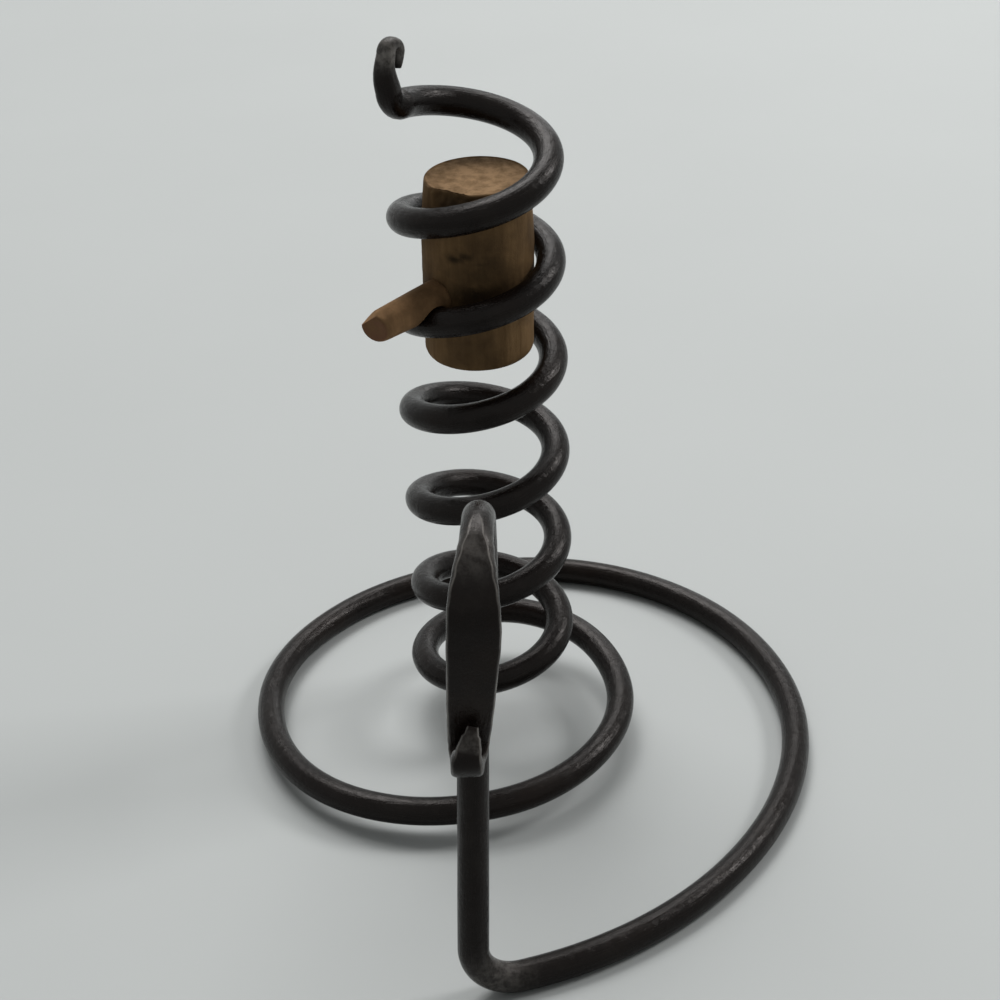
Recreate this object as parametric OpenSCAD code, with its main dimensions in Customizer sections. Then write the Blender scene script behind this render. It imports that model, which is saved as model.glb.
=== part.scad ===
// Courting candlestick. A forged iron rod makes the hook, the coil, the base and the handle.
// A wooden plug climbs inside the coil when its peg is walked round the turns.
// Millimetres. Z is up, and the origin is on the coil's axis at table level.

/* [Rod] */
// Radius of the round bar
rod_r = 3.175; // [2.6:0.005:3.6]
// Radius of the bar where it is drawn out for the handle
handle_rod_r = 3.15; // [2.4:0.05:3.4]
// Depth of the flat that the base rests on
table_flat = 0.5; // [0.3:0.05:0.8]

/* [Coil] */
// Clearance between the plug and the coil round it
plug_gap = 0.425; // [0.3:0.025:0.8]
// Rise of the coil in one turn
coil_pitch = 22.52; // [20:0.02:26]
// Height of the middle of the bar at the coil's upper end
coil_top_z = 147.7; // [142:0.1:160]
// Turns of even pitch in the coil, down to where it starts to spread
coil_turns = 5.75; // [5.75:1:6.75]
// Part of a turn at the coil's upper end that is left to the hook
hook_share = 0.07; // [0.05:0.01:0.1]

/* [Base] */
// Radius of the inner loop at its widest, to the middle of the bar
inner_loop_r = 52.8; // [46:0.2:60]
// Distance of the handle's foot from the coil's axis
foot_reach = 92.9; // [84:0.1:106]

/* [Handle] */
// Radius of the bend from the base up into the handle, to the middle of the bar
foot_bend_r = 10; // [7:0.1:12]
// Height of the centre of the finger loop
loop_z = 97.7; // [70:0.1:110]
// Radius of the finger loop, to the middle of the bar
loop_r = 12.2; // [11:0.1:15]
// How far the riser leans back towards the coil
riser_lean = 9; // [4:0.5:14]
// How far the finger loop is skewed to the side on its way round
loop_skew = 1.4; // [0:0.1:3]
// Half width of the flattened grip at its widest
grip_half_w = 4.6; // [3.6:0.1:6]
// Half thickness of the flattened grip
grip_half_t = 1.7; // [1.3:0.1:2.4]
// Length of the grip below the centre of the finger loop
grip_drop = 24.5; // [20:0.5:36]
// Radius of the small scroll at the end of the grip
tip_scroll_r = 3; // [2.6:0.1:4]

/* [Hook] */
// Height of the hook above the middle of the bar
hook_h = 11.9; // [10:0.1:20]
// Radius of the curl at the top of the hook
hook_curl_r = 1.7; // [1.5:0.1:2.5]

/* [Lift] */
// Radius of the wooden plug at its foot
plug_r = 11.6; // [10.8:0.05:11.7]
// Radius of the wooden plug at its top
plug_top_r = 10.8; // [10.4:0.05:11.4]
// Height of the top of the plug above the peg, where the candle stands
plug_above = 23.35; // [18:0.05:28]
// Length of the plug
plug_h = 39.2; // [34:0.1:44]
// Depth below the peg at which the plug is parted from its foot
parting_drop = 6.45; // [5:0.05:8]
// Worn edge round the bottom of the plug
plug_wear = 1.6; // [0.8:0.1:2.4]
// Length over which the plug narrows to its top
plug_taper_l = 13; // [8:0.5:24]
// Worn edge round the top of the plug
plug_rim = 0.5; // [0.3:0.1:1]
// Direction of the peg, seen from above
peg_angle = -138.5; // [-150:0.5:-125]
// Radius of the peg where it meets the plug
peg_root_r = 3.85; // [3.2:0.05:4.1]
// Radius of the peg at its outer end
peg_end_r = 3.1; // [2.4:0.05:3.6]
// Distance of the peg's outer end from the coil's axis
peg_reach = 29.4; // [25:0.1:34]
// How far the peg points down
peg_droop = 3.8; // [0:0.1:7]
// Radius of the round tenon that holds the peg in the plug
tenon_r = 2.8; // [2.2:0.05:3.1]
// Length of the tenon inside the plug
tenon_l = 15; // [10:0.5:18]
// Radial clearance of the tenon in its hole
tenon_fit = 0.05; // [0.02:0.01:0.15]
// Height of the peg's axis above the middle of the bar that it rides on
peg_ride = 4.2; // [3.8:0.05:6]
// Clearance between the peg's saddle and the bar
saddle_gap = 0.3; // [0.2:0.05:0.5]

/* [Hidden] */
$fn = 64;

iron = [0.17, 0.15, 0.14];
wood = [0.47, 0.33, 0.2];
peg_wood = [0.42, 0.24, 0.16];

up = [0, 0, 1];
right = [1, 0, 0];
sides = 12;
rings_per_turn = 30;
coil_start = 180;
coil_r = plug_r + plug_gap + rod_r;
floor_z = rod_r - table_flat;

// The base at each eighth of a turn, from one eighth above the coil's end: how far the bar has
// spread, as a share of the inner loop's widest spread, and how much of its height is left
spread = [0, 0, 0.005, 0.024, 0.079, 0.17, 0.226, 0.317, 0.524,
  0.783, 0.982, 1, 0.976, 1.017, 1.162, 1.378, 1.662, 2.081, 2.528];
height_left = [1.18, 1, 0.88, 0.78, 0.69, 0.605, 0.515, 0.425, 0.35, 0.27, 0.18, 0.085, 0.015, 0];
plan_step = 8;
inner_last = 12;
base_last = 16;
foot_at = 15.95;

function unit(v) = v / norm(v);
function mix(a, b, t) = a + (b - a) * t;
function ease(t) = t * t * (3 - 2 * t);
function polar(r, a, z) = [r * cos(a), r * sin(a), z];

// A smooth curve through evenly spaced values, at the place t counted in steps
function value(list, i) = list[max(0, min(len(list) - 1, i))];
function through(list, t) =
  let (
    i = floor(t), f = t - i,
    a = value(list, i - 1), b = value(list, i), c = value(list, i + 1), d = value(list, i + 2)
  )
  b + f * ((c - a) / 2 + f * ((2 * a - 5 * b + 4 * c - d) / 2 + f * (3 * b - a - 3 * c + d) / 2));

// The coil: the place of the bar's middle after so many turns down from the top
function coil_at(turns) = polar(coil_r, coil_start - 360 * turns, coil_top_z - coil_pitch * turns);
coil_end_z = coil_top_z - coil_pitch * coil_turns;

// The base: the same for the eighths of a turn below the coil
inner_spread = inner_loop_r - coil_r;
outer_spread = (foot_reach - coil_r) / spread[base_last + 1];
function base_r(k) =
  let (t = max(0, (k - inner_last) / (base_last - inner_last)))
  coil_r + through(spread, k + 1) * mix(inner_spread, outer_spread, ease(t));
function base_z(k) = floor_z + (coil_end_z - floor_z) * max(0, through(height_left, k + 1));
function base_at(k) =
  polar(base_r(k), coil_start - 360 * (coil_turns + k / plan_step), base_z(k));

// The handle starts where the base ends, bends up, and rises to the finger loop
base_end = base_at(foot_at);
last_step = base_end - base_at(foot_at - 0.05);
heading = unit([last_step[0], last_step[1], 0]);
foot_top = base_end + foot_bend_r * (heading + up);
riser_side = 5.4;
loop_c = [foot_top[0] + riser_side, foot_top[1] + riser_lean - loop_r, loop_z];
function bend_at(a) = base_end + foot_bend_r * (heading * sin(a) + up * (1 - cos(a)));
function loop_at(a) = loop_c + [-loop_skew * (1 - cos(a)) / 2, loop_r * cos(a), loop_r * sin(a)];
riser_top = loop_at(0);
riser_sag = 4.3;
riser_drift = 0.69;
riser_turn = 0.55;
function riser_shift(t) =
  mix(riser_drift * t, 1, ease(max(0, (t - riser_turn) / (1 - riser_turn))));
function riser_at(t) = [
  mix(foot_top[0], riser_top[0], riser_shift(t)),
  mix(foot_top[1], riser_top[1], t) - riser_sag * t * pow(1 - t, 2),
  mix(foot_top[2], riser_top[2], t)
];
grip_top = loop_at(180);
grip_side = 2.4;
grip_back = 3;
grip_end = grip_top + [-grip_side, grip_back, -grip_drop];
function grip_at(t) = [
  mix(grip_top[0], grip_end[0], t),
  mix(grip_top[1], grip_end[1], t * t),
  mix(grip_top[2], grip_end[2], t)
];
scroll_c = grip_end + [0, -tip_scroll_r, 0];
function scroll_at(a) = scroll_c + tip_scroll_r * [0, cos(a), -sin(a)];
tip_rise = 5.2;
tip_side = 0.6;
tip_back = 2.3;
function tip_at(t) = scroll_at(180) + [tip_side * t, tip_back * t * t, tip_rise * t];

// The hook: the bar's upper end runs off the coil, bends up, then curls over
hook_run = 0.8;
hook_bend_r = 4;
hook_aim = 7;
hook_thinning = 1.6;
hook_turn = 40;
hook_start = coil_at(hook_share);
hook_way = -coil_way(hook_share);
hook_level = unit([hook_way[0], hook_way[1], 0]);
hook_flat = hook_level * cos(hook_aim) + cross(hook_level, up) * sin(hook_aim);
hook_side = cross(hook_flat, up);
bend_start = hook_start + hook_run * hook_way;
curl_way = [sin(hook_turn), cos(hook_turn), 0];
curl_side = cross(up, curl_way);
function hook_bend_at(a) = bend_start + hook_bend_r * (hook_flat * sin(a) + up * (1 - cos(a)));
stem_foot = hook_bend_at(90);
stem_top = [stem_foot[0], stem_foot[1], coil_top_z + hook_h - hook_curl_r];
hook_belly = 0.5;
function stem_at(t) = mix(stem_foot, stem_top, t) - right * hook_belly * sin(180 * t);
function curl_at(a) = stem_top + hook_curl_r * ((1 - cos(a)) * curl_way + sin(a) * up);
curl_tip_l = 3.5;
curl_tip_way = unit([0, 0, -5] - curl_way);
function curl_tip_at(t) = curl_at(180) + curl_tip_l * t * curl_tip_way;

// A section: half width along its side, half thickness across, and squareness
round_bar = [rod_r, rod_r, 2];
handle_bar = [handle_rod_r, handle_rod_r, 2];
loop_bar = [handle_rod_r * 0.92, handle_rod_r * 0.92, 2];
grip_wide = [grip_half_w, grip_half_t, 2.6];
grip_low = [grip_half_w * 0.74, grip_half_t * 1.05, 3];
tip_bend = [grip_half_w * 0.62, grip_half_t * 1.1, 3];
tip_point = [0.9, 0.8, 2.4];
hook_stem = [2.55, 2.4, 2.6];
hook_top = [1.95, 1.45, 2.8];
hook_point = [1.5, 1, 2.4];

// Each stretch is a list of stations: place, side direction and section
function ring(p, t, side, s) =
  let (e = unit(side - (side * t) * t), n = cross(t, e), q = 2 / s[2])
  [for (k = [0:sides - 1]) let (c = cos(360 * k / sides), d = sin(360 * k / sides))
    p + e * s[0] * sign(c) * pow(abs(c), q) + n * s[1] * sign(d) * pow(abs(d), q)];
function way(list, i, first, last) =
  i == 0 && first != undef ? first : i == len(list) - 1 && last != undef ? last :
  unit(list[min(len(list) - 1, i + 1)][0] - list[max(0, i - 1)][0]);

module bar(stations, first = undef, last = undef) {
  n = len(stations);
  points = [for (i = [0:n - 1]) each
    ring(stations[i][0], way(stations, i, first, last), stations[i][1], stations[i][2])];
  skin = [for (i = [0:n - 2], k = [0:sides - 1]) let (
      a = i * sides + k, b = i * sides + (k + 1) % sides, c = a + sides, d = b + sides
    ) each [[a, d, b], [a, c, d]]];
  near = [for (k = [1:sides - 2]) [0, k, k + 1]];
  far = [for (k = [1:sides - 2]) [(n - 1) * sides, (n - 1) * sides + k + 1, (n - 1) * sides + k]];
  polyhedron(points = points, faces = concat(near, skin, far), convexity = 10);
}

// The direction of the coil is exact, so that the peg's saddle follows it
function coil_way(turns) =
  let (a = coil_start - 360 * turns)
  unit([2 * PI * coil_r * sin(a), -2 * PI * coil_r * cos(a), -coil_pitch]);
module coil_bar(from, to, extra) {
  n = ceil((to - from) * rings_per_turn);
  section = [rod_r + extra, rod_r + extra, 2];
  rings = [for (i = [0:n]) let (t = from + (to - from) * i / n)
    ring(coil_at(t), coil_way(t), up, section)];
  points = [for (r = rings) each r];
  skin = [for (i = [0:n - 1], k = [0:sides - 1]) let (
      a = i * sides + k, b = i * sides + (k + 1) % sides, c = a + sides, d = b + sides
    ) each [[a, d, b], [a, c, d]]];
  near = [for (k = [1:sides - 2]) [0, k, k + 1]];
  far = [for (k = [1:sides - 2]) [n * sides, n * sides + k + 1, n * sides + k]];
  polyhedron(points = points, faces = concat(near, skin, far), convexity = 20);
}

inner_rings = 48;
outer_rings = 30;
coil_end_way = coil_way(coil_turns);
inner_end_way = unit(base_at(inner_last + 0.1) - base_at(inner_last - 0.1));

function inner_stations() =
  [for (i = [0:inner_rings]) [base_at(inner_last * i / inner_rings), up, round_bar]];
function outer_stations() = [for (i = [0:outer_rings]) let (t = i / outer_rings)
  [base_at(mix(inner_last, foot_at, t)), up, mix(round_bar, handle_bar, ease(t))]];

bend_rings = 8;
riser_rings = 14;
function riser_stations() = concat(
  [for (i = [0:bend_rings]) let (a = 90 * i / bend_rings)
    [bend_at(a), up * cos(a) - heading * sin(a), handle_bar]],
  [for (i = [1:riser_rings]) let (t = i / riser_rings)
    [riser_at(t), mix(-heading, right, ease(t)), mix(handle_bar, loop_bar, t)]]
);

loop_rings = 14;
flatten_from = 0.35;
grip_rings = 8;
scroll_rings = 8;
tip_rings = 3;
function loop_stations() = concat(
  [for (i = [0:loop_rings])
    let (t = i / loop_rings, flat = max(0, (t - flatten_from) / (1 - flatten_from)))
    [loop_at(180 * t), right, mix(loop_bar, grip_wide, ease(flat))]],
  [for (i = [1:grip_rings]) let (t = i / grip_rings) [grip_at(t), right, mix(grip_wide, grip_low, ease(t))]],
  [for (i = [1:scroll_rings]) let (t = i / scroll_rings)
    [scroll_at(180 * t), right, mix(grip_low, tip_bend, t)]],
  [for (i = [1:tip_rings]) let (t = i / tip_rings) [tip_at(t), right, mix(tip_bend, tip_point, t)]]
);

hook_bend_rings = 6;
stem_rings = 5;
curl_rings = 8;
curl_tip_rings = 2;
function hook_stations() = concat(
  [[hook_start, hook_side, round_bar]],
  [for (i = [0:hook_bend_rings]) let (t = i / hook_bend_rings)
    [hook_bend_at(90 * t), hook_side, mix(round_bar, hook_stem, ease(min(1, t * hook_thinning)))]],
  [for (i = [1:stem_rings]) let (t = i / stem_rings)
    [stem_at(t), mix(hook_side, curl_side, ease(t)), mix(hook_stem, hook_top, t)]],
  [for (i = [1:curl_rings]) let (t = i / curl_rings)
    [curl_at(180 * t), curl_side, mix(hook_top, hook_point, t)]],
  [for (i = [1:curl_tip_rings]) let (t = i / curl_tip_rings) [curl_tip_at(t), curl_side, hook_point]]
);

// The least gap of the bar to itself, on points along the coil and the base
gap_step = 24;
gap_points = concat(
  [for (i = [0:floor(coil_turns * gap_step)]) coil_at(i / gap_step)],
  [for (i = [1:base_last * gap_step / plan_step]) base_at(i * plan_step / gap_step)]
);
near_points = 16;
self_gap = min([for (i = [0:len(gap_points) - 1]) for (j = [i + near_points:1:len(gap_points) - 1])
  norm(gap_points[i] - gap_points[j])]) - 2 * rod_r;
echo(least_gap_of_bar_to_itself = self_gap);

// The lift: the peg rides on the bar, and the plug is set by its peg
peg_turns = 1 + (coil_start - peg_angle) / 360;
peg_z = coil_at(peg_turns)[2] + peg_ride;
plug_top_z = peg_z + plug_above;
plug_bottom_z = plug_top_z - plug_h;
parting_z = peg_z - parting_drop;
module along_peg() {
  translate(polar(coil_r, peg_angle, peg_z)) rotate([0, 0, peg_angle]) rotate([0, 90 + peg_droop, 0])
    children();
}
peg_out = peg_reach - coil_r;
peg_in = coil_r - plug_r + 1;
tenon_foot = peg_in + tenon_l;
peg_chamfer = 0.8;
saddle_turns = 0.12;

module flat_below() {
  reach = 240;
  depth = 2 * rod_r;
  translate([-reach / 2, -reach / 2, -depth]) cube([reach, reach, depth]);
}

module top_hook() {
  color(iron) bar(hook_stations(), first = hook_way);
}

module spiral_column() {
  color(iron) coil_bar(hook_share, coil_turns, 0);
}

module base_inner_loop() {
  color(iron) difference() {
    bar(inner_stations(), first = coil_end_way, last = inner_end_way);
    flat_below();
  }
}

module base_outer_loop() {
  color(iron) difference() {
    bar(outer_stations(), first = inner_end_way, last = heading);
    flat_below();
  }
}

module handle_riser() {
  color(iron) difference() {
    bar(riser_stations(), first = heading, last = up);
    flat_below();
  }
}

module finger_loop() {
  color(iron) bar(loop_stations(), first = up);
}

module candle_plug() {
  color(wood) difference() {
    rotate_extrude() polygon([
      [0, parting_z], [plug_r, parting_z], [plug_r, plug_top_z - plug_taper_l],
      [plug_top_r, plug_top_z - plug_rim], [plug_top_r - plug_rim, plug_top_z], [0, plug_top_z]
    ]);
    along_peg() translate([0, 0, -tenon_foot]) cylinder(h = tenon_foot, r = tenon_r + tenon_fit);
  }
}

module plug_foot() {
  worn = plug_bottom_z + plug_wear * 0.5;
  sound = plug_bottom_z + plug_wear * 1.4;
  color(wood) rotate_extrude() polygon([
    [0, plug_bottom_z], [plug_r - plug_wear, plug_bottom_z], [plug_r - plug_wear * 0.35, worn],
    [plug_r, sound], [plug_r, parting_z], [0, parting_z]
  ]);
}

module peg_shank() {
  body_l = peg_in + peg_out - peg_chamfer;
  difference() {
    along_peg() union() {
      translate([0, 0, -peg_in]) cylinder(h = body_l, r1 = peg_root_r, r2 = peg_end_r);
      translate([0, 0, peg_out - peg_chamfer])
        cylinder(h = peg_chamfer, r1 = peg_end_r, r2 = peg_end_r - peg_chamfer);
    }
    translate([0, 0, plug_bottom_z]) cylinder(h = plug_h, r = plug_r);
  }
}

module turning_peg() {
  color(peg_wood) difference() {
    union() {
      along_peg() translate([0, 0, -tenon_foot]) cylinder(h = tenon_foot, r = tenon_r);
      peg_shank();
    }
    coil_bar(peg_turns - saddle_turns, peg_turns + saddle_turns, saddle_gap);
  }
}

top_hook();
spiral_column();
base_inner_loop();
base_outer_loop();
handle_riser();
finger_loop();
candle_plug();
plug_foot();
turning_peg();
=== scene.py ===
"""A courting candlestick: one forged iron rod wound into a coil, and a wooden plug that climbs in it on a peg."""

import logging
import math
from collections.abc import Callable
from dataclasses import astuple, dataclass
from enum import Enum

import bmesh
import bpy
import numpy as np
from mathutils import Matrix, Vector, noise


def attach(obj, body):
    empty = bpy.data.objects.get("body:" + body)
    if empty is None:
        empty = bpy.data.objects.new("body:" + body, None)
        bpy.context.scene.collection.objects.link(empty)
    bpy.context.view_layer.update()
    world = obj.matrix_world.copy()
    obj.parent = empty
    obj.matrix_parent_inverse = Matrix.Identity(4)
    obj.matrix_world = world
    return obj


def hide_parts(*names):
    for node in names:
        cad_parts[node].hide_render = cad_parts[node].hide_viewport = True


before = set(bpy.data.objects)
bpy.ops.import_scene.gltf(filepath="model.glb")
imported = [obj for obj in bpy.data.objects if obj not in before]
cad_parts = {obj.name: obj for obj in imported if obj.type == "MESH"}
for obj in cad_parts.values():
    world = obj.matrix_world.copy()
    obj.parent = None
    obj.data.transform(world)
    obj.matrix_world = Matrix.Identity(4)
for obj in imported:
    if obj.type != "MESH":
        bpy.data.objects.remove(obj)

LOG = logging.getLogger("candlestick")
MM = 0.001
RIGHT, BACK, UP = np.eye(3)

Colour = tuple[float, float, float]
Socket = bpy.types.NodeSocket


class Body(str, Enum):
    """The moving bodies of the frame that the pieces ride on."""

    ROD = "iron_rod"
    PLUG = "turning_plug"


class Slot(str, Enum):
    """The material slots."""

    IRON = "iron"
    PLUG = "plug_wood"
    PEG = "peg_wood"


def ease(t: float) -> float:
    """A smooth step from 0 to 1."""
    t = min(1.0, max(0.0, t))
    return t * t * (3 - 2 * t)


def mix(a: float | np.ndarray, b: float | np.ndarray, t: float | np.ndarray) -> float | np.ndarray:
    """The number or point a share t of the way from a to b."""
    return a + (b - a) * t


def unit(v: np.ndarray) -> np.ndarray:
    """The vector at length one."""
    return v / np.linalg.norm(v)


def polar(radius: float, degrees: float, height: float) -> np.ndarray:
    """A point by its radius, azimuth and height."""
    a = math.radians(degrees)
    return np.array([radius * math.cos(a), radius * math.sin(a), height])


def arc(start: np.ndarray, way: np.ndarray, towards: np.ndarray, radius: float, degrees: float) -> np.ndarray:
    """A point of a bend.

    Args:
        start: Where the bend starts.
        way: Its direction there.
        towards: The direction it turns to.
        radius: Its radius.
        degrees: How far round the point lies.

    Returns:
        The point.
    """
    a = math.radians(degrees)
    return start + radius * (way * math.sin(a) + towards * (1 - math.cos(a)))


def through(values: tuple[float, ...], t: float) -> float:
    """A smooth curve through evenly spaced values.

    Args:
        values: The values, one per step.
        t: The place along them, in steps.

    Returns:
        The value at that place.
    """
    i = math.floor(t)
    f = t - i
    a, b, c, d = (values[max(0, min(len(values) - 1, i + n))] for n in (-1, 0, 1, 2))
    return b + f * ((c - a) / 2 + f * ((2 * a - 5 * b + 4 * c - d) / 2 + f * (3 * b - a - 3 * c + d) / 2))


@dataclass(frozen=True)
class Section:
    """The bar's section at one place, in millimetres.

    Attributes:
        half_width: Half width along the side direction.
        half_thick: Half thickness across it.
        square: 2 is an ellipse, and more is squarer.
        front: How far the outer face stands from the middle, where it is hammered flat. The default leaves it round.
    """

    half_width: float
    half_thick: float
    square: float = 2.0
    front: float = 9.0


Keys = tuple[tuple[float, Section], ...]


def keyed(*rows: tuple[float, ...]) -> Keys:
    """Keyed sections from rows of a place and a section's numbers."""
    return tuple((place, Section(*sizes)) for place, *sizes in rows)


def section_at(keys: Keys, t: float) -> Section:
    """The section at a place between keyed ones.

    Args:
        keys: Places, in rising order, each with its section.
        t: The place wanted.

    Returns:
        The smoothly blended section. Before the first key and past the last it is theirs.
    """
    places = [place for place, _ in keys]
    i = max((n for n, place in enumerate(places[:-1]) if place <= t), default=0)
    share = ease((t - places[i]) / (places[i + 1] - places[i]))
    a, b = astuple(keys[i][1]), astuple(keys[i + 1][1])
    return Section(*(mix(p, q, share) for p, q in zip(a, b, strict=True)))


@dataclass
class Station:
    """One place on the rod: its middle, the side direction wanted there, and the section."""

    place: np.ndarray
    side: np.ndarray | None
    section: Section


def stretch(
    count: int, span: float, place: Callable[[float], np.ndarray], side: np.ndarray | None, keys: Keys
) -> list[Station]:
    """Stations at even steps along a stretch of the bar.

    Args:
        count: How many steps it has.
        span: Its whole measure, such as 1 or 180 degrees.
        place: The bar's middle at a measure.
        side: The side direction, where it is held.
        keys: The sections by measure.

    Returns:
        The stations, one for each step.
    """
    measures = [span * i / count for i in range(1, count + 1)]
    return [Station(place(t), side, section_at(keys, t)) for t in measures]


class Nodes:
    """Builds a node tree, Geometry Nodes or material, in short calls."""

    def __init__(self, tree: bpy.types.NodeTree) -> None:
        """Keeps the tree."""
        self.tree = tree

    def fill(self, node: bpy.types.Node, inputs: dict[str | int, object]) -> None:
        """Sets or links inputs of a node.

        Args:
            node: The node.
            inputs: Values or sockets by the input's name or number.
        """
        for name, value in inputs.items():
            if isinstance(value, Socket):
                self.tree.links.new(value, node.inputs[name])
            else:
                node.inputs[name].default_value = value

    def add(self, kind: str, inputs: dict[str | int, object] | None = None, **settings: object) -> bpy.types.Node:
        """Adds a node.

        Args:
            kind: The node's type.
            inputs: Values or sockets by the input's name or number.
            **settings: Attributes of the node.

        Returns:
            The node.
        """
        node = self.tree.nodes.new(kind)
        for name, value in settings.items():
            setattr(node, name, value)
        self.fill(node, inputs or {})
        return node

    def attribute(self, name: str, output: str = "Fac") -> Socket:
        """What the mesh stores under a name."""
        return self.add("ShaderNodeAttribute", attribute_name=name, attribute_type="GEOMETRY").outputs[output]

    def math(self, operation: str, *values: float | Socket) -> Socket:
        """A maths node's result."""
        return self.add("ShaderNodeMath", dict(enumerate(values)), operation=operation).outputs[0]

    def vector(self, operation: str, *values: Socket) -> Socket:
        """A vector maths node's result."""
        return self.add("ShaderNodeVectorMath", dict(enumerate(values)), operation=operation).outputs[0]

    def scaled(self, vector: Socket, factor: Socket) -> Socket:
        """A vector times a number."""
        return self.add("ShaderNodeVectorMath", {"Vector": vector, "Scale": factor}, operation="SCALE").outputs[0]

    def noise(self, place: Socket, scale: float, detail: float, harsh: float) -> Socket:
        """A noise texture's value at a place.

        Args:
            place: The place's socket.
            scale: Features per metre.
            detail: How many finer layers it has.
            harsh: How strong the finer layers are.

        Returns:
            The value, from 0 to 1.
        """
        settings = {"Vector": place, "Scale": scale, "Detail": detail, "Roughness": harsh}
        return self.add("ShaderNodeTexNoise", settings).outputs["Fac"]

    def ranged(self, value: Socket, a: float, b: float, low: float, high: float) -> Socket:
        """The value, mapped and clamped from the range a to b onto the range low to high."""
        settings = {"Value": value, "From Min": a, "From Max": b, "To Min": low, "To Max": high}
        return self.add("ShaderNodeMapRange", settings).outputs["Result"]

    def blend(self, factor: Socket, a: Socket | Colour, b: Socket | Colour) -> Socket:
        """A colour between two.

        Args:
            factor: The share of the second.
            a: The first colour.
            b: The second colour.

        Returns:
            The output socket.
        """
        ends = {i: colour if isinstance(colour, Socket) else (*colour, 1) for i, colour in ((6, a), (7, b))}
        return self.add("ShaderNodeMix", {"Factor": factor, **ends}, data_type="RGBA").outputs[2]

    def bumped(self, height: Socket, strength: float, distance: float) -> Socket:
        """The surface's direction, raised by a height."""
        settings = {"Height": height, "Strength": strength, "Distance": distance}
        return self.add("ShaderNodeBump", settings).outputs["Normal"]


def new_material(name: str) -> tuple[bpy.types.Material, Nodes, bpy.types.Node, Socket]:
    """Starts a material.

    Args:
        name: Its name.

    Returns:
        The material, the builder of its nodes, its shader, and the place on the piece.
    """
    material = bpy.data.materials.new(name)
    material.use_nodes = True
    nodes = Nodes(material.node_tree)
    place = nodes.add("ShaderNodeTexCoord").outputs["Object"]
    return material, nodes, material.node_tree.nodes["Principled BSDF"], place


@dataclass(frozen=True)
class BlackIron:
    """Forged iron, blackened by oil and worn smooth.

    Attributes:
        name: The material's name.
        dark: Colour of the scale.
        worn: Colour where it is worn by rubbing.
        rusty: Colour of the brown patches.
        highlight_and_polish_colour: Colour of the painted highlights along the edges and at the foot's bend, and of
            the places that hands have burnished.
        sheen: Tint of what it mirrors.
        roughness: The least and the most, along the streaks.
        specular: How strongly it mirrors.
        edge: How far from an edge, in metres, the painted edge highlight and edge wear start to fade and end.
        sizes: Features per metre of the broad tones, the fine specks and the brown patches.
        streak_size: Features of the long streaks, along and round the bar.
    """

    name: str = "blackened_iron"
    dark: Colour = (0.0046, 0.0031, 0.0027)
    worn: Colour = (0.015, 0.012, 0.0105)
    rusty: Colour = (0.015, 0.0088, 0.006)
    highlight_and_polish_colour: Colour = (0.22, 0.204, 0.188)
    sheen: Colour = (1.0, 0.93, 0.89)
    roughness: tuple[float, float] = (0.13, 0.31)
    specular: float = 0.155
    edge: tuple[float, float] = (0.00006, 0.00026)
    sizes: tuple[float, float, float] = (95.0, 620.0, 60.0)
    streak_size: float = 4.5

    def build(self) -> bpy.types.Material:
        """Mixes the finish.

        Returns:
            The material.
        """
        material, nodes, shader, place = new_material(self.name)
        broad_size, fine_size, patch_size = self.sizes
        broad = nodes.noise(place, broad_size, 5.0, 0.62)
        fine = nodes.noise(place, fine_size, 6.0, 0.65)
        patches = nodes.noise(place, patch_size, 3.0, 0.5)
        streaks = nodes.noise(nodes.attribute("bar_place", "Vector"), self.streak_size, 5.0, 0.62)
        wear = nodes.ranged(nodes.math("ADD", nodes.math("MULTIPLY", streaks, 0.5), broad), 0.72, 0.98, 0.0, 0.6)
        speckle = nodes.ranged(fine, 0.52, 0.74, 0.0, 0.5)
        base = nodes.blend(nodes.math("MAXIMUM", wear, speckle), self.dark, self.worn)
        tinted = nodes.blend(nodes.ranged(patches, 0.52, 0.7, 0.0, 0.35), base, self.rusty)
        # Painted highlight lines along the bar's edges, where the edges catch the light, with some edge wear.
        edge_highlight_and_wear = nodes.ranged(nodes.math("ABSOLUTE", nodes.attribute("off_edge")), *self.edge, 1.0, 0.0)
        edge_highlight_and_wear = nodes.math("MULTIPLY", edge_highlight_and_wear, nodes.attribute("edge_highlight_share"))
        # Hand wear at the hook, the loop and the tip, and the painted highlight at the foot's bend.
        wear_and_bend_highlight = nodes.math("MULTIPLY", nodes.attribute("handled"), nodes.ranged(fine, 0.4, 0.6, 0.3, 1.0))
        highlight_and_polish = nodes.math("MULTIPLY", edge_highlight_and_wear, nodes.ranged(broad, 0.36, 0.6, 0.15, 0.85))
        highlight_and_polish = nodes.math("MAXIMUM", highlight_and_polish, wear_and_bend_highlight)
        least, most = self.roughness
        pits = nodes.math("ADD", nodes.ranged(fine, 0.3, 0.5, 0.0, 1.0), nodes.math("MULTIPLY", streaks, 3.0))
        height = nodes.math("ADD", nodes.math("MULTIPLY", pits, 0.14), broad)
        nodes.fill(shader, {
            "Base Color": nodes.blend(highlight_and_polish, tinted, self.highlight_and_polish_colour),
            "Roughness": nodes.ranged(streaks, 0.3, 0.7, most, least),
            "Normal": nodes.bumped(height, 0.4, 0.0007),
            "Specular IOR Level": self.specular,
            "Specular Tint": (*self.sheen, 1),
        })  # fmt: skip
        return material


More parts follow.
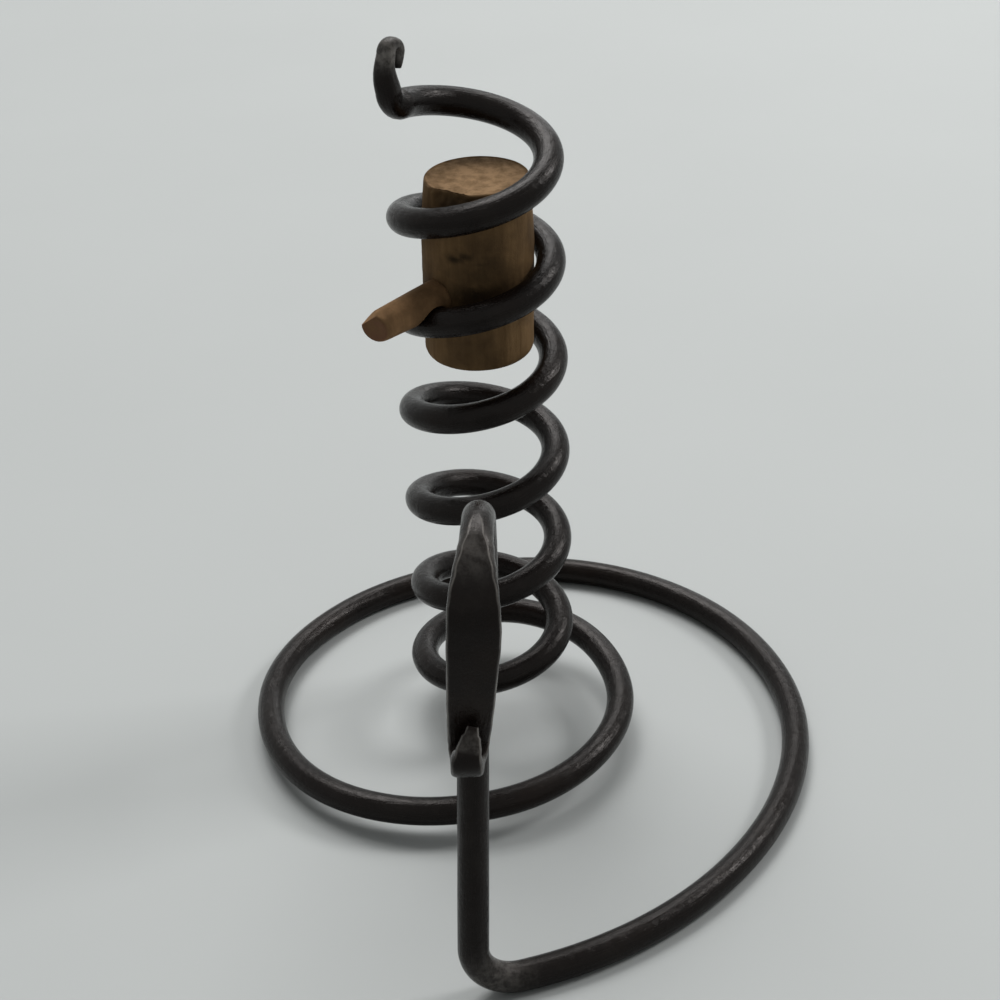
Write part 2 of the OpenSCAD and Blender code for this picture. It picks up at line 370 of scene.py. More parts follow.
@dataclass(frozen=True)
class OldWood:
    """Bare wood that has gone dark with handling.

    Attributes:
        name: The material's name.
        light: Colour of the pale grain.
        dark: Colour of the dark grain.
        grime: Colour of the handled and waxed places.
        end: Colour of the end grain.
        soot_and_shade_colour: Colour of the dark smudges and of the painted shade on the plug.
        along: Direction of the grain.
        grain_size: Features per metre across the grain. Along it they are grain_length times as long.
        stain_size: Features per metre of the stains.
        mottle_size: Features per metre of the end grain.
        specular: How strongly it mirrors.
    """

    name: str
    light: Colour
    dark: Colour
    grime: Colour
    end: Colour
    soot_and_shade_colour: Colour = (0.01, 0.007, 0.0045)
    along: tuple[float, float, float] = (0.0, 0.0, 1.0)
    grain_size: float = 520.0
    grain_length: float = 0.09
    stain_size: float = 105.0
    mottle_size: float = 420.0
    specular: float = 0.08

    def build(self) -> bpy.types.Material:
        """Mixes the finish.

        Returns:
            The material.
        """
        material, nodes, shader, place = new_material(self.name)
        turn = Vector(UP).rotation_difference(Vector(self.along)).inverted().to_euler()
        grain_place = nodes.add(
            "ShaderNodeMapping", {"Vector": place, "Rotation": turn, "Scale": (1.0, 1.0, self.grain_length)}
        ).outputs["Vector"]
        grain = nodes.noise(grain_place, self.grain_size, 6.0, 0.6)
        stains = nodes.noise(place, self.stain_size, 4.0, 0.55)
        mottle = nodes.noise(place, self.mottle_size, 7.0, 0.7)
        side = nodes.blend(nodes.ranged(grain, 0.28, 0.76, 0.0, 1.0), self.dark, self.light)
        handled = nodes.blend(nodes.ranged(stains, 0.42, 0.66, 0.0, 0.8), side, self.grime)
        end_tone = nodes.blend(nodes.ranged(mottle, 0.38, 0.58, 0.2, 1.0), self.dark, self.end)
        bare = nodes.blend(nodes.attribute("end_grain"), handled, end_tone)
        height = nodes.math("ADD", nodes.math("MULTIPLY", grain, 0.3), nodes.math("MULTIPLY", mottle, 0.6))
        # The base colour is darkened by the dark smudges and the painted shade that the plug stores.
        nodes.fill(shader, {
            "Base Color": nodes.blend(nodes.attribute("soot_and_shade"), bare, self.soot_and_shade_colour),
            "Roughness": nodes.ranged(stains, 0.0, 1.0, 0.9, 0.65),
            "Normal": nodes.bumped(height, 0.5, 0.0006),
            "Specular IOR Level": self.specular,
        })  # fmt: skip
        return material


def placed(name: str, data: bpy.types.ID) -> bpy.types.Object:
    """Puts a new object into the scene.

    Args:
        name: Its name.
        data: What it holds, such as a mesh or a light.

    Returns:
        The object.
    """
    thing = bpy.data.objects.new(name, data)
    bpy.context.scene.collection.objects.link(thing)
    return thing


def store(mesh: bpy.types.Mesh, name: str, values: np.ndarray) -> None:
    """Stores something for each point of a mesh.

    Args:
        mesh: The mesh.
        name: The attribute's name.
        values: A number or a vector for each point.
    """
    kind, field = ("FLOAT_VECTOR", "vector") if values.ndim == 2 else ("FLOAT", "value")
    mesh.attributes.new(name, kind, "POINT").data.foreach_set(field, values.astype(np.float32).ravel())


def plain(piece: bpy.types.Object, finish: bpy.types.Material) -> None:
    """Turns an object and its modifiers into a plain mesh whose faces point outwards.

    Args:
        piece: The object.
        finish: Its only material.
    """
    bpy.context.view_layer.update()
    graph = bpy.context.evaluated_depsgraph_get()
    done = bpy.data.meshes.new_from_object(piece.evaluated_get(graph), preserve_all_data_layers=True, depsgraph=graph)
    piece.modifiers.clear()
    piece.data = done
    shell = bmesh.new()
    shell.from_mesh(done)
    bmesh.ops.recalc_face_normals(shell, faces=shell.faces)
    shell.to_mesh(done)
    shell.free()
    done.materials.clear()
    done.materials.append(finish)


@dataclass
class ForgedRod:
    """The iron: one bar that makes the hook, the coil, the base and the handle. Sizes are in millimetres.

    Attributes:
        rod_r: The bar's radius. It is drawn down to handle_r at the handle.
        table_flat: How much of the bar's underside is flat on the table.
        coil_r: Radius of the coil's middle line. It falls by coil_pitch in each of its coil_turns turns, and starts
            at the azimuth coil_start and the height coil_top_z.
        hook_share: Turns of the coil that the hook takes up.
        hand_bent: Turns, and how far the hand-bent coil lies above an even one there. bend_window smooths it.
        inner_loop_r: Reach of the base's inner loop, as foot_reach is the handle's.
        spread: How far the base has opened, at each eighth of a turn.
        height_left: How much of its height the bar has left there.
        inner_last: Eighths of a turn to the inner loop's end, as base_last and foot_at are to the outer one's.
        base_stations: Stations along the base.
        foot_bend_r: Radius of the bend at the riser's foot.
        riser_lean: How far the riser leans to the coil on its way up, as riser_side is to the side. riser_sag is its
            sag outwards, and riser_drift and riser_turn are how it makes its way to the side.
        loop_z: Height of the finger loop's middle. loop_r is its radius, and loop_set, loop_skew and skew_power are
            its lean to the side.
        grip_side: How far the grip runs to the side, as grip_back and grip_drop are to the back and down.
        scroll_r: Radius of the grip's scroll. tip_lean and tip_rise say where its tip goes.
        hook_h: Height of the hook over the coil's top. hook_run, hook_bend_r, hook_belly and hook_curl_r shape it, and
            hook_aim and hook_turn turn its foot and its curl, in degrees.
        hook_thinning: How early in its bend the hook is drawn thin.
        hook_stem: Section of its stem, as hook_head is of its top and hook_point of its point.
        nib_l: Length of the straight tip of the hook, in nib_steps steps, each thinner by nib_taper. nib_square is
            how square it is.
        loop_bar: Sections of the finger loop by degrees, as scroll_bar is of the scroll. grip_bar and tip_bar are by
            the share of the length.
        rolled_stations: Stations at the end of the bar that are rolled, whose both faces have painted highlight lines
            and wear along their edges.
        step: Length between the stations of the coil.
        sides: Points round the bar.
        hammer_depth: Depth of the hammer marks. hammer_size is their size, flats the depth of the long flats and seed
            the seed of both.
        flat_blend: How softly a hammered flat runs out. back_edge is where the edge of the bar's back lies, as a share
            of its width, and thin_edge the thicknesses between which the front's edge moves out, and by what share.
        streaks: How fast the iron's streaks change from station to station, and round the bar.
        hand_wear_and_bend_highlight: Strength of the hand wear at the hook and at the finger loop, how far below their
            tops it lies and its
        reach, and the strength and reach of the painted highlight at the foot's bend, round bend_highlight_at. loop_y
        is where the loop's wear starts, outwards, and tip_polish the strength of the wear at the tip.
        nodes: The nodes that it takes the place of.
    """

    rod_r: float = 3.175
    handle_r: float = 3.15
    table_flat: float = 0.5
    coil_r: float = 15.2
    coil_pitch: float = 22.52
    coil_top_z: float = 147.7
    coil_turns: float = 5.75
    coil_start: float = 180.0
    hook_share: float = 0.07
    hand_bent: tuple[tuple[float, float], ...] = (
        (0.07, 0), (0.15, 0.2), (0.28, 0.25), (0.42, 0), (0.62, -0.65), (0.9, -0.7), (1.1, -0.55), (1.35, -0.5),
        (1.55, 0), (2.65, 0), (2.9, 0.27), (3.0, 0), (3.2, -0.6), (3.35, -0.45), (3.5, 0.1), (3.7, 0.27), (3.9, 0.27),
        (4.0, 0), (4.13, -0.7), (4.3, -0.65), (4.45, 0), (4.8, 0.27), (5.1, 0.25), (5.3, 0),
    )  # fmt: skip
    bend_window: int = 13
    inner_loop_r: float = 52.8
    foot_reach: float = 92.9
    spread: tuple[float, ...] = (
        0, 0, 0.005, 0.024, 0.079, 0.17, 0.226, 0.317, 0.524, 0.783,
        0.982, 1, 0.976, 1.017, 1.162, 1.378, 1.662, 2.081, 2.528,
    )  # fmt: skip
    height_left: tuple[float, ...] = (
        1.18, 1, 0.88, 0.78, 0.69, 0.605, 0.515, 0.425, 0.35, 0.27, 0.18, 0.085, 0.015, 0,
    )  # fmt: skip
    inner_last: float = 12.0
    base_last: float = 16.0
    foot_at: float = 15.95
    base_stations: int = 400
    foot_bend_r: float = 10.0
    riser_lean: float = 9.0
    riser_side: float = 5.4
    riser_sag: float = 4.3
    riser_drift: float = 0.69
    riser_turn: float = 0.55
    loop_z: float = 97.7
    loop_r: float = 12.2
    loop_set: float = 0.4
    loop_skew: float = 1.5
    skew_power: float = 2.2
    grip_side: float = 1.9
    grip_back: float = 3.0
    grip_drop: float = 24.5
    scroll_r: float = 3.0
    tip_lean: float = 0.4
    tip_rise: tuple[float, float, float] = (1.3, 3.2, 5.2)
    hook_h: float = 11.78
    hook_curl_r: float = 1.7
    hook_run: float = 0.8
    hook_bend_r: float = 4.0
    hook_belly: float = 0.5
    hook_aim: float = 7.0
    hook_thinning: float = 1.6
    hook_turn: float = 40.0
    nib_l: float = 3.5
    nib_steps: int = 5
    nib_taper: float = 0.012
    hook_stem: Section = Section(2.53, 2.4, 2.6)
    hook_head: Section = Section(1.95, 1.45, 2.8)
    hook_point: Section = Section(1.55, 1.2, 2.5)
    nib_square: float = 2.4
    loop_bar: Keys = keyed(
        (0, 2.9, 2.9), (60, 2.9, 2.9, 2.0, 3.6), (84, 2.86, 2.9, 2.0, 2.95), (106, 2.95, 2.85, 2.0, 2.6),
        (119, 3.28, 2.72, 2.1, 2.1), (134, 3.75, 2.45, 2.3, 1.6), (150, 4.22, 2.1, 2.7, 1.42),
        (164, 4.5, 1.9, 3.2, 1.4), (180, 4.6, 1.8, 3.6, 1.4),
    )  # fmt: skip
    grip_bar: Keys = keyed(
        (0, 4.6, 1.8, 3.6, 1.4), (0.15, 4.6, 1.75, 3.8, 1.4), (0.3, 4.38, 1.72, 3.8, 1.4),
        (0.6, 4.18, 1.72, 3.8, 1.4), (0.8, 3.95, 1.75, 3.8, 1.42), (1, 3.68, 1.78, 3.8, 1.45),
    )  # fmt: skip
    scroll_bar: Keys = keyed(
        (0, 3.68, 1.78, 3.8, 1.45), (36, 3.5, 1.8, 4.0, 1.45), (90, 2.95, 1.8, 4.2, 1.45), (180, 2.72, 1.75, 4.2, 1.5),
    )  # fmt: skip
    tip_bar: Keys = keyed(
        (0, 2.72, 1.75, 4.2, 1.5), (0.35, 2.2, 1.5, 4.0, 1.25), (0.7, 1.7, 1.2, 3.6, 1.0),
        (0.8, 1.25, 1.0, 3.2, 0.8), (1, 1.0, 0.85, 2.8, 0.7),
    )  # fmt: skip
    rolled_stations: int = 32
    step: float = 1.3
    sides: int = 80
    hammer_depth: float = 0.1
    hammer_size: float = 9.0
    flats: float = 0.09
    seed: int = 4
    flat_blend: float = 0.12
    streaks: tuple[float, float] = (0.07, 1.2)
    back_edge: float = 0.9
    thin_edge: tuple[float, float, float] = (2.4, 1.85, 0.72)
    hand_wear_and_bend_highlight: tuple[tuple[float, ...], ...] = ((0.85, 1.8, 2.0), (0.3, 1.5, 2.4), (0.4, 6.5))
    loop_y: float = -98.5
    bend_highlight_at: tuple[float, float, float] = (-3.0, -94.0, 5.0)
    tip_polish: float = 0.28
    nodes: tuple[str, ...] = (
        "top_hook", "spiral_column", "base_inner_loop", "base_outer_loop", "handle_riser", "finger_loop",
    )  # fmt: skip

    def bar(self) -> Section:
        """The round bar as it comes."""
        return Section(self.rod_r, self.rod_r)

    def drawn(self) -> Section:
        """The round bar of the handle."""
        return Section(self.handle_r, self.handle_r)

    def coil_at(self, turns: float) -> np.ndarray:
        """The bar's middle so many turns below the top of the coil."""
        return polar(self.coil_r, self.coil_start - 360 * turns, self.coil_top_z - self.coil_pitch * turns)

    def coil_way(self, turns: float) -> np.ndarray:
        """The coil's direction, downwards.

        Args:
            turns: The place, in turns below the top.

        Returns:
            The direction, of length one.
        """
        a = math.radians(self.coil_start - 360 * turns)
        run = 2 * math.pi * self.coil_r
        return unit(np.array([run * math.sin(a), -run * math.cos(a), -self.coil_pitch]))

    def base_at(self, k: float) -> np.ndarray:
        """The bar's middle in the base.

        Args:
            k: The place, in eighths of a turn below the coil.

        Returns:
            The point.
        """
        floor_z = self.rod_r - self.table_flat
        end_z = self.coil_top_z - self.coil_pitch * self.coil_turns
        inner = self.inner_loop_r - self.coil_r
        outer = (self.foot_reach - self.coil_r) / self.spread[int(self.base_last) + 1]
        share = ease((k - self.inner_last) / (self.base_last - self.inner_last))
        radius = self.coil_r + through(self.spread, k + 1) * mix(inner, outer, share)
        height = floor_z + (end_z - floor_z) * max(0.0, through(self.height_left, k + 1))
        return polar(radius, self.coil_start - 360 * (self.coil_turns + k / 8), height)

    def hook(self) -> list[Station]:
        """The hook.

        Returns:
            Its stations, from the tip down to the coil.
        """
        start, way = self.coil_at(self.hook_share), -self.coil_way(self.hook_share)
        straight = unit(np.array([way[0], way[1], 0.0]))
        side = np.cross(straight, UP)
        aim, turn = math.radians(self.hook_aim), math.radians(self.hook_turn)
        level = straight * math.cos(aim) + side * math.sin(aim)
        bend = start + self.hook_run * way
        curl_way = np.array([math.sin(turn), math.cos(turn), 0.0])
        curl_side = np.cross(UP, curl_way)
        foot = bend + self.hook_bend_r * (level + UP)
        top = np.array([foot[0], foot[1], self.coil_top_z + self.hook_h - self.hook_curl_r])
        bar, stem, head, point = self.bar(), self.hook_stem, self.hook_head, self.hook_point

        def bent(a: float) -> np.ndarray:
            """The middle of the bend at the hook's foot, at an angle in degrees."""
            return arc(bend, level, UP, self.hook_bend_r, a)

        def curl(a: float) -> np.ndarray:
            """The curl's middle at an angle in degrees."""
            return arc(top, UP, curl_way, self.hook_curl_r, a)

        found = [Station(mix(start, bend, t), side, bar) for t in (0.33, 0.66, 1)]
        found += stretch(9, 90, bent, side, ((0, bar), (90 / self.hook_thinning, stem)))
        for t in np.linspace(0, 1, 9)[1:]:
            place = mix(foot, top, t) - RIGHT * self.hook_belly * math.sin(math.pi * t)
            turned = unit(mix(side, curl_side, ease(t)))
            found.append(Station(place, turned, section_at(((0, stem), (1, head)), t)))
        found += stretch(14, 180, curl, curl_side, ((0, head), (180, point)))
        tip_way = unit(-5 * UP - curl_way)
        for i in range(1, self.nib_steps + 1):
            thin = 1 - self.nib_taper * i**2
            nib = Section(point.half_width * thin, point.half_thick * thin, self.nib_square)
            found.append(Station(curl(180) + self.nib_l * i / self.nib_steps * tip_way, curl_side, nib))
        return found[::-1]

    def coil(self) -> list[Station]:
        """The coil, a helix that is a little uneven in height from its bending by hand.

        Returns:
            Its stations, from the top down.
        """
        length = 2 * math.pi * self.coil_r * (self.coil_turns - self.hook_share)
        turns = np.linspace(self.hook_share, self.coil_turns, round(length / self.step) + 1)
        bends = np.interp(turns, *zip(*self.hand_bent, strict=True))
        window = np.hanning(self.bend_window)
        bends = np.convolve(np.pad(bends, self.bend_window // 2, "edge"), window / window.sum(), "valid")
        return [Station(self.coil_at(t) + UP * bend, None, self.bar()) for t, bend in zip(turns, bends, strict=True)]

    def base(self) -> list[Station]:
        """The base's two loops.

        Returns:
            Their stations, from the coil out.
        """
        keys = ((self.inner_last, self.bar()), (self.foot_at, self.drawn()))
        places = np.linspace(0, self.foot_at, self.base_stations)[1:]
        return [Station(self.base_at(k), None, section_at(keys, k)) for k in places]

    def handle(self) -> list[Station]:
        """The riser, the finger loop, the grip and its scroll.

        Returns:
            Their stations, from the base to the tip.
        """
        end = self.base_at(self.foot_at)
        ahead = end - self.base_at(self.foot_at - 0.05)
        heading = unit(np.array([ahead[0], ahead[1], 0.0]))
        foot = end + self.foot_bend_r * (heading + UP)
        rise = np.array([foot[0] + self.riser_side, foot[1] + self.riser_lean, self.loop_z])
        drawn, slim = self.drawn(), self.loop_bar[0][1]

        def bent(a: float) -> np.ndarray:
            """The middle of the bend at the riser's foot, at an angle in degrees."""
            return arc(end, heading, UP, self.foot_bend_r, a)

        def loop(a: float) -> np.ndarray:
            """The finger loop's middle at an angle in degrees."""
            skew = self.loop_skew * ((1 - math.cos(math.radians(a))) / 2) ** self.skew_power
            return arc(rise, UP, -BACK, self.loop_r, a) - RIGHT * (self.loop_set + skew)

        def riser(t: float) -> np.ndarray:
            """The riser's middle.

            Args:
                t: The share of its height.

            Returns:
                The point.
            """
            early = self.riser_drift * t
            shift = mix(early, 1, ease((t - self.riser_turn) / (1 - self.riser_turn)))
            return mix(foot, loop(0), np.array([shift, t, t])) - BACK * self.riser_sag * t * (1 - t) ** 2

        high = loop(180)
        low = high + np.array([-self.grip_side, self.grip_back, -self.grip_drop])

        def grip(t: float) -> np.ndarray:
            """The grip's middle at a share of its length."""
            return mix(high, low, np.array([t, t * t, t]))

        def scroll(a: float) -> np.ndarray:
            """The scroll's middle at an angle in degrees."""
            return arc(low, -UP, -BACK, self.scroll_r, a) - RIGHT * self.tip_lean * ease(a / 100)

        def tip(t: float) -> np.ndarray:
            """The tip's middle at a share of its length."""
            return scroll(180) + np.array(self.tip_rise) * np.array([t, max(0.0, t - 0.25), t])

        return [
            *stretch(24, 90, bent, None, ((0, drawn), (90, drawn))),
            *stretch(60, 1, riser, None, ((0, drawn), (1, slim))),
            *stretch(60, 180, loop, RIGHT, self.loop_bar),
            *stretch(26, 1, grip, RIGHT, self.grip_bar),
            *stretch(24, 180, scroll, RIGHT, self.scroll_bar),
            *stretch(14, 1, tip, RIGHT, self.tip_bar),
        ]

    def path(self) -> tuple[list[Station], np.ndarray, np.ndarray]:
        """The whole rod.

        Returns:
            The stations from the hook's tip to the grip's tip, the bar's direction at each, and its side direction.
            This is carried along without twist, and turns slowly along the coil to meet the hook's.
        """
        hook, coil = self.hook(), self.coil()
        stations = hook + coil + self.base() + self.handle()
        places = np.array([s.place for s in stations])
        ways = np.gradient(places, axis=0)
        ways /= np.linalg.norm(ways, axis=1)[:, None]
        sides = np.zeros_like(places)
        first, carried = len(hook), RIGHT

        def squared(side: np.ndarray, i: int) -> np.ndarray:
            """A side direction, made square to the bar at a station."""
            return unit(side - np.dot(side, ways[i]) * ways[i])

        for i in range(len(stations) - 1, first - 1, -1):
            carried = squared(carried if stations[i].side is None else stations[i].side, i)
            sides[i] = carried
        wanted = squared(stations[first - 1].side, first)
        across = np.cross(ways[first], sides[first])
        twist = math.atan2(np.dot(wanted, across), np.dot(wanted, sides[first]))
        for n in range(len(coil)):
            i, a = first + n, twist * (1 - ease(n / (len(coil) - 1)))
            sides[i] = sides[i] * math.cos(a) + np.cross(ways[i], sides[i]) * math.sin(a)
        for i in range(first):
            sides[i] = squared(stations[i].side, i)
        return stations, ways, sides

    def sweep_tree(self) -> bpy.types.NodeTree:
        """The Geometry Nodes tree that draws the forged bar along the stations.

        Returns:
            The tree. Its inputs are the stations, the number of sides, the depth and size of the hammer marks, the
            depth of the long flats, the seed, and the material.
        """
        tree = bpy.data.node_groups.new("forged_bar", "GeometryNodeTree")
        inputs = {
            "Geometry": "Geometry", "Sides": "Int", "Hammer Depth": "Float", "Hammer Size": "Float", "Flats": "Float",
            "Seed": "Float", "Material": "Material",
        }  # fmt: skip
        for name, kind in inputs.items():
            tree.interface.new_socket(name, in_out="INPUT", socket_type=f"NodeSocket{kind}")
        tree.interface.new_socket("Geometry", in_out="OUTPUT", socket_type="NodeSocketGeometry")
        nodes = Nodes(tree)
        given = nodes.add("NodeGroupInput").outputs
        curve = nodes.add("GeometryNodeMeshToCurve", {"Mesh": given["Geometry"]}).outputs["Curve"]
        ring = nodes.add("GeometryNodeCurvePrimitiveCircle", {"Resolution": given["Sides"], "Radius": 0.001})
        tube = nodes.add(
            "GeometryNodeCurveToMesh", {"Curve": curve, "Profile Curve": ring.outputs["Curve"], "Fill Caps": True}
        ).outputs["Mesh"]
        index = nodes.add("GeometryNodeInputIndex").outputs["Index"]
        station = nodes.math("FLOOR", nodes.math("DIVIDE", nodes.math("ADD", index, 0.5), given["Sides"]))
        step = nodes.math("SUBTRACT", index, nodes.math("MULTIPLY", station, given["Sides"]))

        def sampled(name: str, kind: str) -> Socket:
            """What the station of this point holds.

            Args:
                name: The attribute's name.
                kind: Its kind.

            Returns:
                The value's socket.
            """
            if name == "position":
                value = nodes.add("GeometryNodeInputPosition").outputs[0]
            else:
                value = nodes.add("GeometryNodeInputNamedAttribute", {"Name": name}, data_type=kind).outputs[0]
            inputs = {"Geometry": given["Geometry"], "Value": value, "Index": station}
            return nodes.add("GeometryNodeSampleIndex", inputs, data_type=kind, domain="POINT").outputs[0]

        middle, side, across = (sampled(n, "FLOAT_VECTOR") for n in ("position", "side", "across"))
        half_width, half_thick, square, front, handled, rolled = (
            sampled(n, "FLOAT") for n in ("half_width", "half_thick", "square", "front", "handled", "rolled")
        )
        angle = nodes.math("MULTIPLY", nodes.math("DIVIDE", step, given["Sides"]), 2 * math.pi)
        power, inverse = nodes.math("DIVIDE", 2.0, square), nodes.math("DIVIDE", 1.0, square)

        def edge(function: str, half: Socket) -> Socket:
            """One coordinate of the squared ellipse.

            Args:
                function: Sine or cosine.
                half: The half size that way.

            Returns:
                The coordinate's socket.
            """
            c = nodes.math(function, angle)
            size = nodes.math("POWER", nodes.math("ABSOLUTE", c), power)
            return nodes.math("MULTIPLY", nodes.math("MULTIPLY", nodes.math("SIGN", c), size), half)

        along_side = edge("COSINE", half_width)
        raw_thick = edge("SINE", half_thick)
        thick = nodes.math("SMOOTH_MIN", raw_thick, front, self.flat_blend * MM)
        offset = nodes.vector("ADD", nodes.scaled(side, along_side), nodes.scaled(across, thick))
        place = nodes.vector("ADD", middle, offset)

        def marks(size: object, detail: float) -> Socket:
            """Hammer marks of one size.

            Args:
                size: The size in metres.
                detail: How many finer layers they have.

            Returns:
                Their depth's socket, from 0 to 1.
            """
            scale = nodes.math("DIVIDE", 1.0, size)
            return nodes.add(
                "ShaderNodeTexNoise",
                {"Vector": place, "W": given["Seed"], "Scale": scale, "Detail": detail, "Roughness": 0.45},
                noise_dimensions="4D",
            ).outputs[0]

        coarse = marks(given["Hammer Size"], 1.0)
        small = marks(nodes.math("MULTIPLY", given["Hammer Size"], 0.3), 2.0)
        worked = nodes.math("ADD", nodes.math("MULTIPLY", coarse, 0.75), nodes.math("MULTIPLY", small, 0.25))
        along = nodes.add(
            "ShaderNodeCombineXYZ",
            {
                "X": nodes.math("MULTIPLY", station, self.streaks[0]),
                "Y": nodes.math("MULTIPLY", nodes.math("COSINE", angle), self.streaks[1]),
                "Z": nodes.math("MULTIPLY", nodes.math("SINE", angle), self.streaks[1]),
            },
        ).outputs[0]
        long_flats = nodes.add(
            "ShaderNodeTexNoise", {"Vector": along, "W": given["Seed"], "Scale": 1.0, "Detail": 0.0},
            noise_dimensions="4D",
        ).outputs[0]  # fmt: skip
        share = nodes.math("POWER", nodes.math("DIVIDE", half_thick, self.rod_r * MM), 3.0)
        depth = nodes.math("MULTIPLY", worked, given["Hammer Depth"])
        depth = nodes.math("ADD", depth, nodes.math("MULTIPLY", long_flats, given["Flats"]))
        depth = nodes.math("MULTIPLY", nodes.math("MULTIPLY", depth, share), -1.0)
        outward = nodes.vector("NORMALIZE", offset)
        marked = nodes.vector("ADD", place, nodes.scaled(outward, depth))
        split = nodes.add("ShaderNodeSeparateXYZ", {"Vector": marked}).outputs
        above = nodes.math("MAXIMUM", split["Z"], 0.0)
        seated = nodes.add("ShaderNodeCombineXYZ", {"X": split["X"], "Y": split["Y"], "Z": above}).outputs[0]
        moved = nodes.add("GeometryNodeSetPosition", {"Geometry": tube, "Position": seated}).outputs[0]
        kept = nodes.add("GeometryNodeSetShadeSmooth", {"Geometry": moved, "Shade Smooth": True}).outputs[0]
        no_flat = nodes.ranged(nodes.math("SUBTRACT", half_thick, front), 0.00003, 0.00015, 1.0, 0.0)
        flat_share = nodes.math("MINIMUM", nodes.math("DIVIDE", front, half_thick), 1.0)
        corner = nodes.math("POWER", nodes.math("SUBTRACT", 1.0, nodes.math("POWER", flat_share, square)), inverse)
        corner = nodes.math("MULTIPLY", corner, half_width)
        rim = nodes.math("MULTIPLY", half_width, self.back_edge)
        thick_from, thin_from, most = self.thin_edge
        toward_rim = nodes.ranged(half_thick, thick_from * MM, thin_from * MM, 0.0, most)
        wider = nodes.math("MULTIPLY", nodes.math("SUBTRACT", half_width, corner), toward_rim)
        corner = nodes.math("ADD", corner, wider)
        outer = nodes.math("LESS_THAN", raw_thick, 0.0)
        corner = nodes.math("ADD", corner, nodes.math("MULTIPLY", outer, nodes.math("SUBTRACT", rim, corner)))
        # The painted highlight lines and wear along the edges go only where the front is hammered flat, and on the
        # back only at the rolled end.
        no_edge_highlight = nodes.math("MULTIPLY", outer, nodes.math("SUBTRACT", 1.0, rolled))
        no_edge_highlight = nodes.math("MAXIMUM", no_edge_highlight, no_flat)
        off_edge = nodes.math("SUBTRACT", nodes.math("ABSOLUTE", along_side), corner)
        edge_highlight_share = nodes.math("SUBTRACT", 1.0, no_edge_highlight)
        for name, value in (("off_edge", off_edge), ("edge_highlight_share", edge_highlight_share), ("handled", handled), ("bar_place", along)):
            kept = nodes.add(
                "GeometryNodeStoreNamedAttribute", {"Geometry": kept, "Name": name, "Value": value},
                data_type="FLOAT_VECTOR" if name == "bar_place" else "FLOAT", domain="POINT",
            ).outputs[0]  # fmt: skip
        real = nodes.add("GeometryNodeRealizeInstances", {"Geometry": kept}).outputs[0]
        dressed = nodes.add("GeometryNodeSetMaterial", {"Geometry": real, "Material": given["Material"]}).outputs[0]
        nodes.add("NodeGroupOutput", {"Geometry": dressed})
        return tree

    def handled(self, places: np.ndarray) -> np.ndarray:
        """How much hands have burnished the iron at the hook, the finger loop and the tip, with the painted highlight
        at the foot's bend.

        Args:
            places: The stations, in millimetres.

        Returns:
            A share for each station.
        """

        def spot(distance: np.ndarray, reach: float) -> np.ndarray:
            """A soft spot, 1 at its middle."""
            return np.exp(-((distance / reach) ** 2))

        height, last = places[:, 2], np.arange(len(places)) - len(places)
        (hook, hook_below, hook_reach), (loop, loop_below, loop_reach), (bend, bend_highlight_reach) = self.hand_wear_and_bend_highlight
        shares = hook * spot(height - self.coil_top_z - self.hook_h + hook_below, hook_reach)
        over_loop = np.clip((places[:, 1] - self.loop_y) / -4, 0, 1)
        shares += loop * spot(height - self.loop_z - self.loop_r + loop_below, loop_reach) * over_loop
        # Painted highlight at the foot's bend, standing for light caught on that corner.
        shares += bend * spot(np.linalg.norm(places - self.bend_highlight_at, axis=1), bend_highlight_reach)
        return shares + self.tip_polish * (last > -11) * (last < -2)

    def build(self, iron: bpy.types.Material) -> bpy.types.Object:
        """Draws the bar and hands back its plain mesh object.

        Args:
            iron: The iron's material.

        Returns:
            The rod, riding on the frame's root body in place of its six nodes.
        """
        stations, ways, sides = self.path()
        places = np.array([s.place for s in stations])
        mesh = bpy.data.meshes.new("forged_rod_path")
        mesh.from_pydata((places * MM).tolist(), [(i, i + 1) for i in range(len(places) - 1)], [])
        store(mesh, "side", sides)
        store(mesh, "across", np.cross(ways, sides))
        for name in ("half_width", "half_thick", "front", "square"):
            scale = 1.0 if name == "square" else MM
            store(mesh, name, np.array([getattr(s.section, name) * scale for s in stations]))
        # This attribute holds hand wear and the painted highlight at the foot's bend.
        store(mesh, "handled", self.handled(places))
        store(mesh, "rolled", np.arange(len(places)) > len(places) - self.rolled_stations)
        rod = placed("forged_rod", mesh)
        tree = self.sweep_tree()
        sweep = rod.modifiers.new("forged_bar", "NODES")
        sweep.node_group = tree
        sockets = {item.name: item.identifier for item in tree.interface.items_tree if item.in_out == "INPUT"}
        sweep[sockets["Hammer Depth"]] = self.hammer_depth * MM
        sweep[sockets["Hammer Size"]] = self.hammer_size * MM
        sweep[sockets["Flats"]] = self.flats * MM
        sweep[sockets["Sides"]] = self.sides
        sweep[sockets["Seed"]] = float(self.seed)
        sweep[sockets["Material"]] = iron
        plain(rod, iron)
        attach(rod, Body.ROD.value)
        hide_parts(*self.nodes)
        return rod


def lathe(name: str, rows: list[np.ndarray]) -> bpy.types.Object:
    """A closed shell from rows of points, with a pole at each end.

    Args:
        name: The object's name.
        rows: Rings of points in metres, all of one length. The first and last are single points.

    Returns:
        The object, shaded smooth.
    """
    rings, count = rows[1:-1], len(rows[1])
    points = [point.tolist() for row in rows for point in row]
    faces, last = [], 1 + (len(rings) - 1) * count
    for k in range(count):
        n = (k + 1) % count
        faces += [(0, 1 + n, 1 + k), (last + k, last + n, len(points) - 1)]
        for a in range(1, last, count):
            faces.append((a + k, a + n, a + count + n, a + count + k))
    mesh = bpy.data.meshes.new(name)
    mesh.from_pydata(points, [], faces)
    mesh.shade_smooth()
    return placed(name, mesh)


